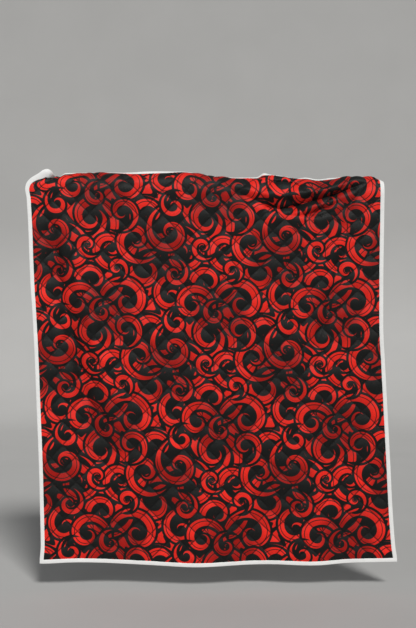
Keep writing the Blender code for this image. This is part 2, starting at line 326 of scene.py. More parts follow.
def drape(across, down):
    curlLength = hanging["curlLength"]
    turnEnd = np.radians(crestTurn(across))
    radius = curlLength / turnEnd
    start = turnStart(across)
    rise = (crestHeight(across) - start) / np.sin(np.minimum(turnEnd, np.pi / 2))
    turn = np.maximum(curlLength - down, 0) / radius
    part = np.maximum(down - curlLength, 0) / (flatQuilt["height"] - curlLength)
    height = start + rise * np.sin(turn) + (-hemDrop(across) - start) * part
    back = radius * (1 - np.cos(turn))
    left, right = leftEdge(-height), rightEdge(-height)
    x = left + (right - left) * across / flatQuilt["width"]
    return np.stack((x, back - hanging["planeForward"] - relief(across, down), height), axis=-1)


def surfaceNormal(place, across, down):
    step = 0.001
    along = place(across + step, down) - place(across - step, down)
    below = place(across, down + step) - place(across, down - step)
    normal = np.cross(below, along)
    return normal / np.linalg.norm(normal, axis=-1, keepdims=True)


def curlTip(across, down):
    # the two top tips roll back round diagonal lines
    movedAcross, movedDown, depth = across, down, np.zeros_like(across)
    for fromSide, inward, (reach, radius) in (
        (across, 1, hanging["tips"]["left"]),
        (flatQuilt["width"] - across, -1, hanging["tips"]["right"]),
    ):
        rolled = np.maximum(reach - (fromSide + down) / math.sqrt(2), 0)
        turn = rolled / radius
        shift = (rolled - radius * np.sin(turn)) / math.sqrt(2)
        movedAcross = movedAcross + inward * shift
        movedDown = movedDown + shift
        depth = depth + radius * (1 - np.cos(turn))
    point = drape(movedAcross, movedDown)
    tip = depth > 0
    if tip.any():
        point[tip] -= surfaceNormal(drape, movedAcross[tip], movedDown[tip]) * depth[tip][:, None]
    return point


def hang(across, down):
    # where a place on the flat quilt is when it hangs
    point = curlTip(across, down)
    pivot = drape(np.zeros(1), np.full(1, hanging["twistDown"]))[0]
    fromCorner = np.hypot(across, down)
    pull = 1 - smoothStep(hanging["twistFull"], hanging["twistReach"], fromCorner)
    angle = hanging["twistAngle"] * pull
    side, up = point[:, 0] - pivot[0], point[:, 2] - pivot[2]
    point[:, 0] = pivot[0] + side * np.cos(angle) + up * np.sin(angle)
    point[:, 2] = pivot[2] - side * np.sin(angle) + up * np.cos(angle)
    return point


def edgeDistance(across, down):
    sides = np.minimum(across, flatQuilt["width"] - across)
    return np.minimum(sides, np.minimum(down, flatQuilt["height"] - down))


def halfThickness(across, down):
    # half the layers' thickness at a seam; the filling is trimmed thin in the corners
    side = np.minimum(across, flatQuilt["width"] - across)
    end = np.minimum(down, flatQuilt["height"] - down)
    trim = smoothStep(0, flatQuilt["cornerTrim"], np.hypot(side, end))
    thin, full = flatQuilt["cornerHalfThickness"], flatQuilt["edgeHalfThickness"]
    return thin + (full - thin) * trim


def seamPlaces(across, down):
    # the place across the two families of seams, in which every seam is a whole number
    fromAcross = across - flatQuilt["seamStartAcross"]
    fromDown = down - flatQuilt["seamStartDown"]
    pitch = flatQuilt["seamPitch"]
    return (fromDown - fromAcross) / pitch, (fromDown + fromAcross) / pitch


def meshPoints(mesh):
    points = np.empty(len(mesh.vertices) * 3)
    mesh.vertices.foreach_get("co", points)
    return points.reshape(-1, 3)


def addMap(mesh, name, places):
    # a UV map from one place for each vertex
    corners = np.empty(len(mesh.loops), int)
    mesh.loops.foreach_get("vertex_index", corners)
    layer = mesh.uv_layers.new(name=name)
    layer.data.foreach_set("uv", places[corners].ravel())


bakeMargin = 0.002  # left free at the rim of the bake map


def insideMargin(part, margin):
    return margin + (1 - 2 * margin) * part


def hangPiece(name, shape, liftOf, material, bakeMap=None):
    # a flat piece lies at x = across, y = -down, z = height off the quilt's middle surface;
    # it is mapped in flat metres, then hung
    mesh = bpy.data.meshes.new(name)
    shape.to_mesh(mesh)
    shape.free()
    flat = meshPoints(mesh)
    across, down = flat[:, 0], -flat[:, 1]
    longest = flatQuilt["height"]
    addMap(mesh, "clothMetres", np.stack((across, longest - down), axis=-1))
    if bakeMap is None:
        bakeMap = insideMargin(np.stack((across, longest - down), axis=-1) / longest, bakeMargin)
    addMap(mesh, "OFBake", bakeMap)
    mesh.uv_layers["clothMetres"].active_render = True
    height = flat[:, 2] + liftOf(across, down)
    points = hang(across, down) + surfaceNormal(hang, across, down) * height[:, None]
    mesh.vertices.foreach_set("co", points.ravel())
    mesh.materials.append(material)
    mesh.polygons.foreach_set("use_smooth", np.ones(len(mesh.polygons), bool))
    mesh.update()
    piece = bpy.data.objects.new(name, mesh)
    bpy.context.scene.collection.objects.link(piece)
    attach(piece, "root")
    print(f"{name}: {sum(len(face.vertices) - 2 for face in mesh.polygons)} triangles")
    return piece


# Cloth materials. These helpers add nodes, and each material is made from small groups of them.
def feed(tree, socket, value):
    if isinstance(value, bpy.types.NodeSocket):
        tree.links.new(value, socket)
    else:
        socket.default_value = value


def maths(tree, operation, *values, clamp=False):
    node = tree.nodes.new("ShaderNodeMath")
    node.operation = operation
    node.use_clamp = clamp
    for socket, value in zip(node.inputs, values):
        feed(tree, socket, value)
    return node.outputs[0]


def vectorMaths(tree, operation, *values, output=0, **named):
    node = tree.nodes.new("ShaderNodeVectorMath")
    node.operation = operation
    for socket, value in zip(node.inputs, values):
        feed(tree, socket, value)
    for socket, value in named.items():
        feed(tree, node.inputs[socket], value)
    return node.outputs[output]


def ramp(tree, value, low, high, toLow=0.0, toHigh=1.0, smooth=True):
    node = tree.nodes.new("ShaderNodeMapRange")
    node.interpolation_type = "SMOOTHSTEP" if smooth else "LINEAR"
    for socket, number in zip(node.inputs, (value, low, high, toLow, toHigh)):
        feed(tree, socket, number)
    return node.outputs[0]


def mixColour(tree, part, first, second, blend="MIX"):
    node = tree.nodes.new("ShaderNodeMix")
    node.data_type = "RGBA"
    node.blend_type = blend
    feed(tree, node.inputs[0], part)
    feed(tree, node.inputs[6], first)
    feed(tree, node.inputs[7], second)
    return node.outputs[2]


def noise(tree, place, scale, detail=2.0, roughness=0.5):
    node = tree.nodes.new("ShaderNodeTexNoise")
    feed(tree, node.inputs["Vector"], place)
    node.inputs["Scale"].default_value = scale
    node.inputs["Detail"].default_value = detail
    node.inputs["Roughness"].default_value = roughness
    return node.outputs[0]


def split(tree, place):
    node = tree.nodes.new("ShaderNodeSeparateXYZ")
    feed(tree, node.inputs[0], place)
    return node.outputs[0], node.outputs[1]


def newGroup(name, inputs, outputs):
    group = bpy.data.node_groups.new(name, "ShaderNodeTree")
    for label, kind in inputs:
        group.interface.new_socket(label, in_out="INPUT", socket_type=kind)
    for label, kind in outputs:
        group.interface.new_socket(label, in_out="OUTPUT", socket_type=kind)
    source = group.nodes.new("NodeGroupInput")
    target = group.nodes.new("NodeGroupOutput")
    return group, source.outputs, target.inputs


def useGroup(tree, group, **values):
    node = tree.nodes.new("ShaderNodeGroup")
    node.node_tree = group
    for label, value in values.items():
        feed(tree, node.inputs[label], value)
    return node.outputs[0]


def clothShader(name, roughness, gloss, sheen):
    material = bpy.data.materials.new(name)
    material.use_nodes = True
    tree = material.node_tree
    shader = tree.nodes["Principled BSDF"]
    shader.inputs["Roughness"].default_value = roughness
    shader.inputs["Specular IOR Level"].default_value = gloss
    shader.inputs["Sheen Weight"].default_value = sheen
    shader.inputs["Sheen Roughness"].default_value = 0.6
    places = tree.nodes.new("ShaderNodeUVMap")
    places.uv_map = "clothMetres"
    return material, tree, shader, places.outputs[0]


def bump(tree, shader, height, distance, strength=1.0):
    node = tree.nodes.new("ShaderNodeBump")
    node.inputs["Distance"].default_value = distance
    node.inputs["Strength"].default_value = strength
    feed(tree, node.inputs["Height"], height)
    tree.links.new(node.outputs[0], shader.inputs["Normal"])


def weaveGroup():
    # a plain weave: warp and weft take turns on top, once each way in a thread pitch
    group, given, result = newGroup(
        "plain weave",
        [("Place", "NodeSocketVector"), ("Threads", "NodeSocketFloat")],
        [("Height", "NodeSocketFloat")],
    )
    place = vectorMaths(group, "SCALE", given["Place"], Scale=given["Threads"])
    across, down = split(group, place)
    warp = maths(group, "ABSOLUTE", maths(group, "SINE", maths(group, "MULTIPLY", across, math.pi)))
    weft = maths(group, "ABSOLUTE", maths(group, "SINE", maths(group, "MULTIPLY", down, math.pi)))
    turns = maths(group, "ADD", maths(group, "FLOOR", across), maths(group, "FLOOR", down))
    onTop = maths(group, "PINGPONG", turns, 1.0)
    height = maths(group, "ADD", maths(group, "MULTIPLY", warp, onTop),
                   maths(group, "MULTIPLY", weft, maths(group, "SUBTRACT", 1.0, onTop)))
    feed(group, result["Height"], height)
    return group


weave = weaveGroup()

# The print: scrolls and hooks in two reds over flowing strokes on charcoal, repeated as a tile.
# Places and sizes are parts of one repeat.
print("print pattern")
scrollPrint = {
    "repeat": 0.660,
    "start": (0.10, 0.06),
    "edge": 0.0013,  # how soft a stroke's edge is
    "gap": 0.0245,  # bare ground round a scroll
    "hollow": 0.85,  # no ground stroke shows nearer to a scroll's centre than this part of its radius
    "vein": 0.0035,  # half the width of the thin dark line along a wide stroke
    "veinPlace": 0.42,  # between the stroke's middle, 0, and its edge, 1
    "veinFrom": 0.020,  # strokes narrower than this have none
    "grow": 1.35,  # how quickly a scroll opens, as the logarithm of its growth in one turn
    "taper": 1.7,  # 1 for a stroke with straight sides, more for a fuller one
    "widest": 0.10,  # the part of its inside turns after which a stroke is widest
    # the ground's rows of wavy strokes, twirled round the first scrolls
    "groundRows": 9,
    "rowWaves": 2,
    "rowWaveDepth": 0.30,
    "rowWaveStart": 0.6,
    "strokeWidth": 0.26,
    "strokeSwell": 0.42,
    "strokeShift": 2.3,  # from the swells of one row to those of the next
    "strokeEdge": 0.06,
    "groundTwirls": 12,
    "twirlReach": 2.2,
    "twirlTurn": 2.0,
    "charcoal": (0.0048, 0.0056, 0.0050, 1),
    "brightRed": (0.790, 0.019, 0.010, 1),
    "deepRed": (0.355, 0.005, 0.002, 1),
    # across, up, radius, hand, turn in degrees, turns inside, turns of tail, width
    "scrolls": (
        (0.648, 0.507, 0.111, 1, 131, 0.84, 0.71, 0.197),
        (0.157, 0.083, 0.119, 1, 151, 0.84, 0.54, 0.222),
        (0.647, 0.037, 0.119, -1, 131, 0.73, 0.72, 0.226),
        (0.11, 0.608, 0.129, -1, 220, 0.8, 0.7, 0.233),
        (0.938, 0.33, 0.114, 1, 344, 0.84, 0.64, 0.229),
        (0.427, 0.756, 0.098, 1, 215, 0.63, 0.63, 0.219),
        (0.811, 0.785, 0.086, 1, 87, 0.61, 0.68, 0.25),
        (0.324, 0.382, 0.083, -1, 273, 0.71, 0.65, 0.231),
        (0.507, 0.305, 0.097, -1, 177, 0.76, 0.6, 0.244),
        (0.031, 0.861, 0.097, 1, 100, 0.7, 0.62, 0.236),
        (0.916, 0.094, 0.083, -1, 86, 0.66, 0.49, 0.231),
        (0.328, 0.93, 0.091, -1, 355, 0.72, 0.7, 0.246),
        (0.363, 0.573, 0.06, 1, 226, 0.67, 0.58, 0.231),
        (0.363, 0.158, 0.052, -1, 333, 0.53, 0.6, 0.257),
        (0.61, 0.805, 0.057, 1, 124, 0.6, 0.52, 0.239),
        (0.859, 0.612, 0.051, -1, 123, 0.64, 0.51, 0.274),
        (0.706, 0.236, 0.06, -1, 256, 0.54, 0.48, 0.264),
    ),
}


def fromCentre(tree, place, centre):
    # from a centre to a place, the shortest way in a print that repeats
    away = vectorMaths(tree, "SUBTRACT", place, centre)
    return vectorMaths(tree, "WRAP", away, (0.5, 0.5, 0.5), (-0.5, -0.5, -0.5))


def twirlGroup():
    # turns the place round a centre, most in the middle and not at all at the rim
    group, given, result = newGroup(
        "twirl",
        [("Place", "NodeSocketVector"), ("Centre", "NodeSocketVector"), ("Reach", "NodeSocketFloat"),
         ("Turn", "NodeSocketFloat")],
        [("Place", "NodeSocketVector")],
    )
    away = fromCentre(group, given["Place"], given["Centre"])
    distance = vectorMaths(group, "LENGTH", away, output=1)
    angle = ramp(group, distance, 0.0, given["Reach"], given["Turn"], 0.0)
    turned = group.nodes.new("ShaderNodeVectorRotate")
    turned.rotation_type = "Z_AXIS"
    feed(group, turned.inputs["Vector"], away)
    feed(group, turned.inputs["Angle"], angle)
    change = vectorMaths(group, "SUBTRACT", turned.outputs[0], away)
    feed(group, result["Place"], vectorMaths(group, "ADD", given["Place"], change))
    return group


def hollowGroup():
    # keeps the ground strokes out of the middle of a scroll
    group, given, result = newGroup(
        "hollow",
        [("Ink", "NodeSocketFloat"), ("Place", "NodeSocketVector"), ("Centre", "NodeSocketVector"),
         ("Reach", "NodeSocketFloat")],
        [("Ink", "NodeSocketFloat")],
    )
    away = fromCentre(group, given["Place"], given["Centre"])
    outside = maths(group, "SUBTRACT", vectorMaths(group, "LENGTH", away, output=1), given["Reach"])
    edge = 3 * scrollPrint["edge"]
    shown = ramp(group, outside, -edge, edge)
    feed(group, result["Ink"], maths(group, "MULTIPLY", given["Ink"], shown))
    return group


def scrollGroup():
    # one tapered spiral stroke, drawn over what is below it, with bare ground round it
    group, given, result = newGroup(
        "scroll",
        [("Ink", "NodeSocketFloat"), ("Place", "NodeSocketVector"), ("Centre", "NodeSocketVector"),
         ("Hand", "NodeSocketFloat"), ("Turn", "NodeSocketFloat"), ("Size", "NodeSocketFloat"),
         ("Widest", "NodeSocketFloat"), ("Inside", "NodeSocketFloat"), ("Tail", "NodeSocketFloat"),
         ("Width", "NodeSocketFloat")],
        [("Ink", "NodeSocketFloat")],
    )
    edge, gap, grow = scrollPrint["edge"], scrollPrint["gap"], scrollPrint["grow"]
    away = fromCentre(group, given["Place"], given["Centre"])
    distance = vectorMaths(group, "LENGTH", away, output=1)
    across, up = split(group, away)
    angle = maths(group, "ARCTAN2", up, across)
    turns = maths(group, "MULTIPLY_ADD", angle, given["Hand"], given["Turn"])
    steps = maths(group, "LOGARITHM", distance, math.exp(grow))
    steps = maths(group, "SUBTRACT", steps, given["Size"])
    outward = maths(group, "SUBTRACT", steps, turns)
    whole = maths(group, "ROUND", outward)
    off = maths(group, "SUBTRACT", outward, whole)  # from the stroke's middle line, in turns
    along = maths(group, "ADD", maths(group, "ADD", turns, whole), given["Widest"])
    end = maths(group, "MAXIMUM", maths(group, "MULTIPLY", along, given["Inside"]),
                maths(group, "MULTIPLY", along, given["Tail"]))
    width = maths(group, "MULTIPLY_ADD", maths(group, "POWER", end, scrollPrint["taper"]), -1.0, 1.0)
    width = maths(group, "MULTIPLY", width, given["Width"])
    turnLength = maths(group, "MULTIPLY", distance, grow)
    off = maths(group, "MULTIPLY", off, turnLength)
    width = maths(group, "MULTIPLY", width, turnLength)
    inside = maths(group, "SUBTRACT", width, maths(group, "ABSOLUTE", off))
    body = ramp(group, inside, -edge, edge)
    vein, veinFrom = scrollPrint["vein"], scrollPrint["veinFrom"]
    line = maths(group, "MULTIPLY_ADD", width, -scrollPrint["veinPlace"], off)
    line = ramp(group, maths(group, "ABSOLUTE", line), vein - edge, vein + edge, 0.0, 1.0)
    line = maths(group, "MAXIMUM", line, ramp(group, width, veinFrom, 1.3 * veinFrom, 1.0, 0.0))
    body = maths(group, "MULTIPLY", body, line)
    clear = ramp(group, inside, -gap - edge, -gap + edge)
    below = maths(group, "MULTIPLY", given["Ink"], maths(group, "SUBTRACT", 1.0, clear))
    feed(group, result["Ink"], maths(group, "MAXIMUM", below, body))
    return group


def printInk(tree, place):
    # 1 where the print is red and 0 on its charcoal ground
    twirl, hollow, scroll = twirlGroup(), hollowGroup(), scrollGroup()
    bent = place
    for across, up, radius, hand, *rest in scrollPrint["scrolls"][:scrollPrint["groundTwirls"]]:
        bent = useGroup(
            tree, twirl, Place=bent, Centre=(across, up, 0),
            Reach=radius * scrollPrint["twirlReach"], Turn=scrollPrint["twirlTurn"] * hand,
        )
    across, up = split(tree, bent)
    count = float(scrollPrint["groundRows"])
    waves = 2 * math.pi * scrollPrint["rowWaves"]
    wave = maths(tree, "SINE", maths(tree, "MULTIPLY_ADD", across, waves, scrollPrint["rowWaveStart"]))
    row = maths(tree, "MULTIPLY_ADD", wave, scrollPrint["rowWaveDepth"], maths(tree, "MULTIPLY", up, count))
    number = maths(tree, "FLOORED_MODULO", maths(tree, "FLOOR", row), count)
    middle = maths(tree, "ABSOLUTE", maths(tree, "MULTIPLY_ADD", maths(tree, "FRACT", row), 2.0, -1.0))
    shift = maths(tree, "MULTIPLY", number, scrollPrint["strokeShift"])
    swell = maths(tree, "SINE", maths(tree, "MULTIPLY_ADD", across, waves, shift))
    swell = maths(tree, "MULTIPLY_ADD", swell, scrollPrint["strokeSwell"], scrollPrint["strokeWidth"])
    strokeEdge = scrollPrint["strokeEdge"]
    ink = ramp(tree, maths(tree, "SUBTRACT", swell, middle), -strokeEdge, strokeEdge)
    for across, up, radius, *rest in scrollPrint["scrolls"]:
        ink = useGroup(tree, hollow, Ink=ink, Place=place, Centre=(across, up, 0),
                       Reach=radius * scrollPrint["hollow"])
    for across, up, radius, hand, turn, inside, tail, width in scrollPrint["scrolls"]:
        widest = scrollPrint["widest"] * inside
        ink = useGroup(
            tree, scroll, Ink=ink, Place=place, Centre=(across, up, 0), Hand=hand / (2 * math.pi),
            Turn=-hand * turn / 360, Size=math.log(radius) / scrollPrint["grow"], Widest=widest,
            Inside=-1 / (inside - widest), Tail=1 / (tail + widest), Width=width,
        )
    return ink


stitching = {
    "length": 0.0042,  # of one stitch and the space after it
    "dash": (0.40, 0.32),  # a stitch fades out between these, from the middle of a space
    "halfWidth": 0.0005,
    "soft": (0.0002, -0.0001),  # its edge, off that half width
    "relief": 0.25,
    "thread": (0.012, 0.010, 0.010, 1),
}


def seamLines(tree, place):
    # how far a place is from the two families of seams, in metres
    across, up = split(tree, place)
    down = maths(tree, "SUBTRACT", flatQuilt["height"], up)
    pitch = flatQuilt["seamPitch"]
    distances, alongs = [], []
    for side in (-1, 1):
        start = flatQuilt["seamStartDown"] + side * flatQuilt["seamStartAcross"]
        total = maths(tree, "MULTIPLY_ADD", across, float(side), down)
        number = maths(tree, "MULTIPLY_ADD", total, 1 / pitch, -start / pitch)
        offset = maths(tree, "SUBTRACT", number, maths(tree, "ROUND", number))
        distances.append(maths(tree, "MULTIPLY", maths(tree, "ABSOLUTE", offset), pitch / math.sqrt(2)))
        along = maths(tree, "MULTIPLY_ADD", across, -float(side), down)
        alongs.append(maths(tree, "MULTIPLY", along, 1 / math.sqrt(2)))
    return distances, alongs


def quilting(tree, place):
    # how far the nearest seam is, in metres, and 1 where its stitches show
    distances, alongs = seamLines(tree, place)
    outer, inner = (stitching["halfWidth"] + soft for soft in stitching["soft"])
    thread = 0.0
    for distance, along in zip(distances, alongs):
        dash = maths(tree, "FRACT", maths(tree, "MULTIPLY", along, 1 / stitching["length"]))
        dash = ramp(tree, maths(tree, "ABSOLUTE", maths(tree, "SUBTRACT", dash, 0.5)), *stitching["dash"])
        line = ramp(tree, distance, outer, inner)
        thread = maths(tree, "MAXIMUM", thread, maths(tree, "MULTIPLY", line, dash))
    return maths(tree, "MINIMUM", *distances), thread


def greyColour(tree, value):
    grey = tree.nodes.new("ShaderNodeCombineColor")
    for socket in grey.inputs[:3]:
        feed(tree, socket, value)
    return grey.outputs[0]


def patches(tree, place, scale, detail, least, most, roughness=0.5):
    # soft patches, which change a colour by a factor between least and most; noise seldom
    # leaves the part from 0.3 to 0.7
    return ramp(tree, noise(tree, place, scale, detail, roughness), 0.3, 0.7, least, most)


def product(tree, *values):
    total = values[0]
    for value in values[1:]:
        total = maths(tree, "MULTIPLY", total, value)
    return total


printedCloth = {
    "roughness": 0.50,
    "gloss": 0.20,
    "sheen": 0.02,
    "deepTone": (-0.55, 0.35),  # where the slow change from deep red to bright red begins and ends
    "mottle": (9.0, 3.0, 0.88, 1.06),  # patches in a metre, detail, least, most
    "grain": (900.0, 1.0, 0.90, 1.10),
    "slubs": (1.0, 2.0, 0.84, 1.16),
    "slubStretch": (150.0, 420.0, 1.0),
    # painted shade beside the seams, in their grooves: dark from, to, least, most
    "seamShade": (0.0010, 0.0060, 0.25, 1.0),  # dark from, to, least, most
    "puckers": 55.0,
    "puckerReach": (0.0, 0.030, 1.0, 0.25),
    "threads": 1400.0,  # in a metre
    "threadRelief": 0.10,
    "relief": 0.0022,
    "reliefStrength": 0.8,
}


def printedCotton():
    cloth = printedCloth
    gloss, sheen = cloth["gloss"], cloth["sheen"]
    material, tree, shader, place = clothShader("printedCotton", cloth["roughness"], gloss, sheen)
    repeat = scrollPrint["repeat"]
    start = (*scrollPrint["start"], 0)
    drawn = vectorMaths(tree, "ADD", vectorMaths(tree, "SCALE", place, Scale=1 / repeat), start)
    ink = printInk(tree, drawn)
    # the red changes from bright to deep and back once in a repeat
    turns = [maths(tree, "MULTIPLY", part, 2 * math.pi) for part in split(tree, drawn)]
    blotch = product(tree, *(maths(tree, "SINE", turn) for turn in turns))
    tone = ramp(tree, blotch, *cloth["deepTone"])
    red = mixColour(tree, tone, scrollPrint["deepRed"], scrollPrint["brightRed"])
    colour = mixColour(tree, ink, scrollPrint["charcoal"], red)
    # uneven dye, threads that catch the light, and painted shade beside the seams
    mottle = patches(tree, place, *cloth["mottle"], roughness=0.6)
    grain = patches(tree, place, *cloth["grain"])
    slubs = patches(tree, vectorMaths(tree, "MULTIPLY", place, cloth["slubStretch"]), *cloth["slubs"])
    near, thread = quilting(tree, place)
    light = product(tree, mottle, grain, slubs, ramp(tree, near, *cloth["seamShade"]))
    colour = mixColour(tree, 1.0, colour, greyColour(tree, light), "MULTIPLY")
    colour = mixColour(tree, thread, colour, stitching["thread"])
    feed(tree, shader.inputs["Base Color"], colour)
    # puckers beside the seams, then the weave and the stitches
    pucker = noise(tree, place, cloth["puckers"], 2.0, 0.55)
    pucker = maths(tree, "MULTIPLY", pucker, ramp(tree, near, *cloth["puckerReach"]))
    threads = useGroup(tree, weave, Place=place, Threads=cloth["threads"])
    height = maths(tree, "MULTIPLY_ADD", threads, cloth["threadRelief"], pucker)
    height = maths(tree, "MULTIPLY_ADD", thread, stitching["relief"], height)
    bump(tree, shader, height, cloth["relief"], cloth["reliefStrength"])
    return material


plainCloth = {
    "roughness": 0.85,
    "gloss": 0.10,
    "sheen": 0.20,
    "mottle": (6.0, 3.0, 0.97, 1.03),
    "grain": (1100.0, 1.0, 0.93, 1.05),
    # painted shade beside the seams of quilted cloth, in their grooves: dark from, to, least, most
    "seamShade": (0.0010, 0.0080, 0.55, 1.0),
    "threadShade": -0.4,
    "creases": 60.0,
    "threads": 1300.0,
    "threadRelief": 0.12,
    "relief": 0.0020,
    "reliefStrength": 0.7,
    "binding": (0.82, 0.82, 0.805, 1),
    "backing": (0.72, 0.72, 0.705, 1),
}


def plainCotton(name, colour, quilted):
    cloth = plainCloth
    material, tree, shader, place = clothShader(name, cloth["roughness"], cloth["gloss"], cloth["sheen"])
    mottle = patches(tree, place, *cloth["mottle"], roughness=0.6)
    light = product(tree, mottle, patches(tree, place, *cloth["grain"]))
    creases = noise(tree, place, cloth["creases"], 3.0, 0.6)
    threads = useGroup(tree, weave, Place=place, Threads=cloth["threads"])
    height = maths(tree, "MULTIPLY_ADD", threads, cloth["threadRelief"], creases)
    if quilted:
        near, thread = quilting(tree, place)
        stitches = maths(tree, "MULTIPLY_ADD", thread, cloth["threadShade"], 1.0)
        # painted shade beside the seams, and the stitches' darker thread
        light = product(tree, light, ramp(tree, near, *cloth["seamShade"]), stitches)
        height = maths(tree, "MULTIPLY_ADD", thread, stitching["relief"], height)
    tint = mixColour(tree, 1.0, colour, greyColour(tree, light), "MULTIPLY")
    feed(tree, shader.inputs["Base Color"], tint)
    bump(tree, shader, height, cloth["relief"], cloth["reliefStrength"])
    return material


topMaterial = printedCotton()
bindingMaterial = plainCotton("bindingCotton", plainCloth["binding"], quilted=False)
backingMaterial = plainCotton("backingCotton", plainCloth["backing"], quilted=True)


# The quilted layers. A flat grid has its lines along the seams, close together beside them.
print("quilted layers")
quiltedTop = {
    "besideSeam": (0.002, 0.006, 0.013, 0.023, 0.035),  # from a seam to the lines beside it
    "cells": 32,  # along the diagonal of the grid
    "firstFalling": -16,
    "firstRising": -1,
    "puff": 0.0100,
    "puffStart": 0.0240,
    "puffFull": 0.045,
    "puffFlatness": 2.2,  # how wide the flat top of a puff is
    "flatCorner": (0.055, 0.110),  # the filling is pressed flat this near to the pulled corner
    "fineArea": (1.16, 1.96, 0.040, 0.320),  # left, right, top and bottom of the finer grid at the swag
    "fineLength": 0.0075,
}
quiltedBack = {
    "puff": 0.0050,
}


def seamGrid():
    cell = flatQuilt["seamPitch"] / math.sqrt(2)
    beside = quiltedTop["besideSeam"]
    stops = [0.0, *beside, cell / 2, *(cell - place for place in reversed(beside))]
    lines = len(stops) * quiltedTop["cells"]
    places = [cell * (line // len(stops)) + stops[line % len(stops)] for line in range(lines + 1)]
    grid = bmesh.new()
    bmesh.ops.create_grid(grid, x_segments=lines, y_segments=lines, size=0.5)
    for vert in grid.verts:
        rising = places[round((vert.co.x + 0.5) * lines)] / cell + quiltedTop["firstRising"]
        falling = places[round((vert.co.y + 0.5) * lines)] / cell + quiltedTop["firstFalling"]
        across = flatQuilt["seamStartAcross"] + (rising - falling) * flatQuilt["seamPitch"] / 2
        down = flatQuilt["seamStartDown"] + (rising + falling) * flatQuilt["seamPitch"] / 2
        vert.co = (across, -down, 0)
    inset = flatQuilt["cutInset"]
    for place, outward in (
        ((inset, 0, 0), (-1, 0, 0)),
        ((flatQuilt["width"] - inset, 0, 0), (1, 0, 0)),
        ((0, -inset, 0), (0, 1, 0)),
        ((0, inset - flatQuilt["height"], 0), (0, -1, 0)),
    ):
        geometry = grid.verts[:] + grid.edges[:] + grid.faces[:]
        bmesh.ops.bisect_plane(
            grid, geom=geometry, dist=1e-6, plane_co=place, plane_no=outward, clear_outer=True
        )
    left, right, top, bottom = quiltedTop["fineArea"]
    swag = {vert for vert in grid.verts if left < vert.co.x < right and top < -vert.co.y < bottom}
    inSwag = [edge for edge in grid.edges if swag.issuperset(edge.verts)]
    tooLong = [edge for edge in inSwag if edge.calc_length() > quiltedTop["fineLength"]]
    bmesh.ops.subdivide_edges(grid, edges=tooLong, cuts=1, use_grid_fill=True)
    bmesh.ops.recalc_face_normals(grid, faces=grid.faces[:])
    if sum(face.normal.z for face in grid.faces) < 0:
        bmesh.ops.reverse_faces(grid, faces=grid.faces[:])
    return grid


def puff(across, down):
    # the filling's rise between the seams, from 0 at a seam and under the binding
    rise = smoothStep(quiltedTop["puffStart"], quiltedTop["puffFull"], edgeDistance(across, down))
    rise = rise * smoothStep(*quiltedTop["flatCorner"], np.hypot(across, down))
    for number in seamPlaces(across, down):
        rise = rise * (1 - (1 - 2 * abs(number - np.round(number))) ** quiltedTop["puffFlatness"])
    return rise


def topLift(across, down):
    return halfThickness(across, down) + quiltedTop["puff"] * puff(across, down)


def backLift(across, down):
    return -halfThickness(across, down) - quiltedBack["puff"] * puff(across, down)


def noLift(across, down):
    return np.zeros_like(across)


quiltTop = hangPiece("quilt_top", seamGrid(), topLift, topMaterial)
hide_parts("quilt_panel")

backGrid = seamGrid()
bmesh.ops.reverse_faces(backGrid, faces=backGrid.faces[:])
quiltBacking = hangPiece("quilt_backing", backGrid, backLift, backingMaterial)


# The binding: a strip folded over each edge, mitred at the corners
print("binding")
bindingStrip = {
    "stationSpacing": 0.008,
    "bakeMargin": 0.02,  # across the strip
    "flatWidth": 0.052,
    # distance in from the outer edge, height off the middle surface
    "section": (
        (0.0232, 0.0008),
        (0.0229, 0.0018),
        (0.0222, 0.0025),
        (0.0200, 0.0029),
        (0.0160, 0.0031),
        (0.0110, 0.0032),
        (0.0056, 0.0032),
        (0.0022, 0.0028),
        (0.0005, 0.0018),
        (0.0000, 0.0000),
    ),
    "cornerWider": 0.80,  # how much wider the strips show at the pulled top left corner
    "cornerReach": 0.080,
    "rippleDepth": 0.0007,
    "rippleLength": 0.045,
    "rippleBeats": (0.37, 0.23),  # the ripples grow and fade this often in one ripple
    "rippleBeatStart": 1.0,
    "rippleDrift": 0.6,
    "rippleEnds": 0.2,
    "sewnEdge": 0.018,  # further in than this a ripple moves the sewn edge, and elsewhere the flat top
    "sewnEdgeShare": 0.6,
    "flatTop": 0.002,
    "flatTopShare": 0.5,
}


def bindingRipple(part, turn):
    # the middle of each long stretch ripples, and the ends keep the mitre
    if not 0 < part < 1:
        return 0
    first, second = bindingStrip["rippleBeats"]
    ripple = math.sin(turn) * math.sin(first * turn + bindingStrip["rippleBeatStart"])
    ripple += bindingStrip["rippleDrift"] * math.sin(second * turn)
    return ripple * bindingStrip["rippleDepth"] * math.sin(math.pi * part) ** bindingStrip["rippleEnds"]


def bindingPiece(name, length, place, facing):
    half = bindingStrip["section"]
    section = list(half) + [(inward, -height) for inward, height in reversed(half[:-1])]
    stations = round(length / bindingStrip["stationSpacing"])
    strip = bmesh.new()
    bmesh.ops.create_grid(strip, x_segments=stations, y_segments=len(section) - 1, size=0.5)
    bakePlaces = []
    for vert in strip.verts:
        part = vert.co.x + 0.5
        row = round((vert.co.y + 0.5) * (len(section) - 1))
        inward, height = section[row]
        rowPart = row / (len(section) - 1)
        bakePlaces.append((insideMargin(part, bakeMargin), insideMargin(rowPart, bindingStrip["bakeMargin"])))
        if height > 0 and name in ("quilt_binding_left", "quilt_binding_top"):
            fromCorner = part * length / bindingStrip["cornerReach"]
            inward *= 1 + bindingStrip["cornerWider"] * math.exp(-fromCorner * fromCorner)
        along = inward + (length - 2 * inward) * part
        ripple = bindingRipple(part, 2 * math.pi * along / bindingStrip["rippleLength"])
        if inward > bindingStrip["sewnEdge"]:
            inward += bindingStrip["sewnEdgeShare"] * ripple
        elif height > bindingStrip["flatTop"]:
            height += bindingStrip["flatTopShare"] * ripple
        across, down = place(along, inward)
        vert.co = (across, -down, height)
    if facing < 0:
        bmesh.ops.reverse_faces(strip, faces=strip.faces[:])
    return hangPiece(name, strip, noLift, bindingMaterial, np.array(bakePlaces))


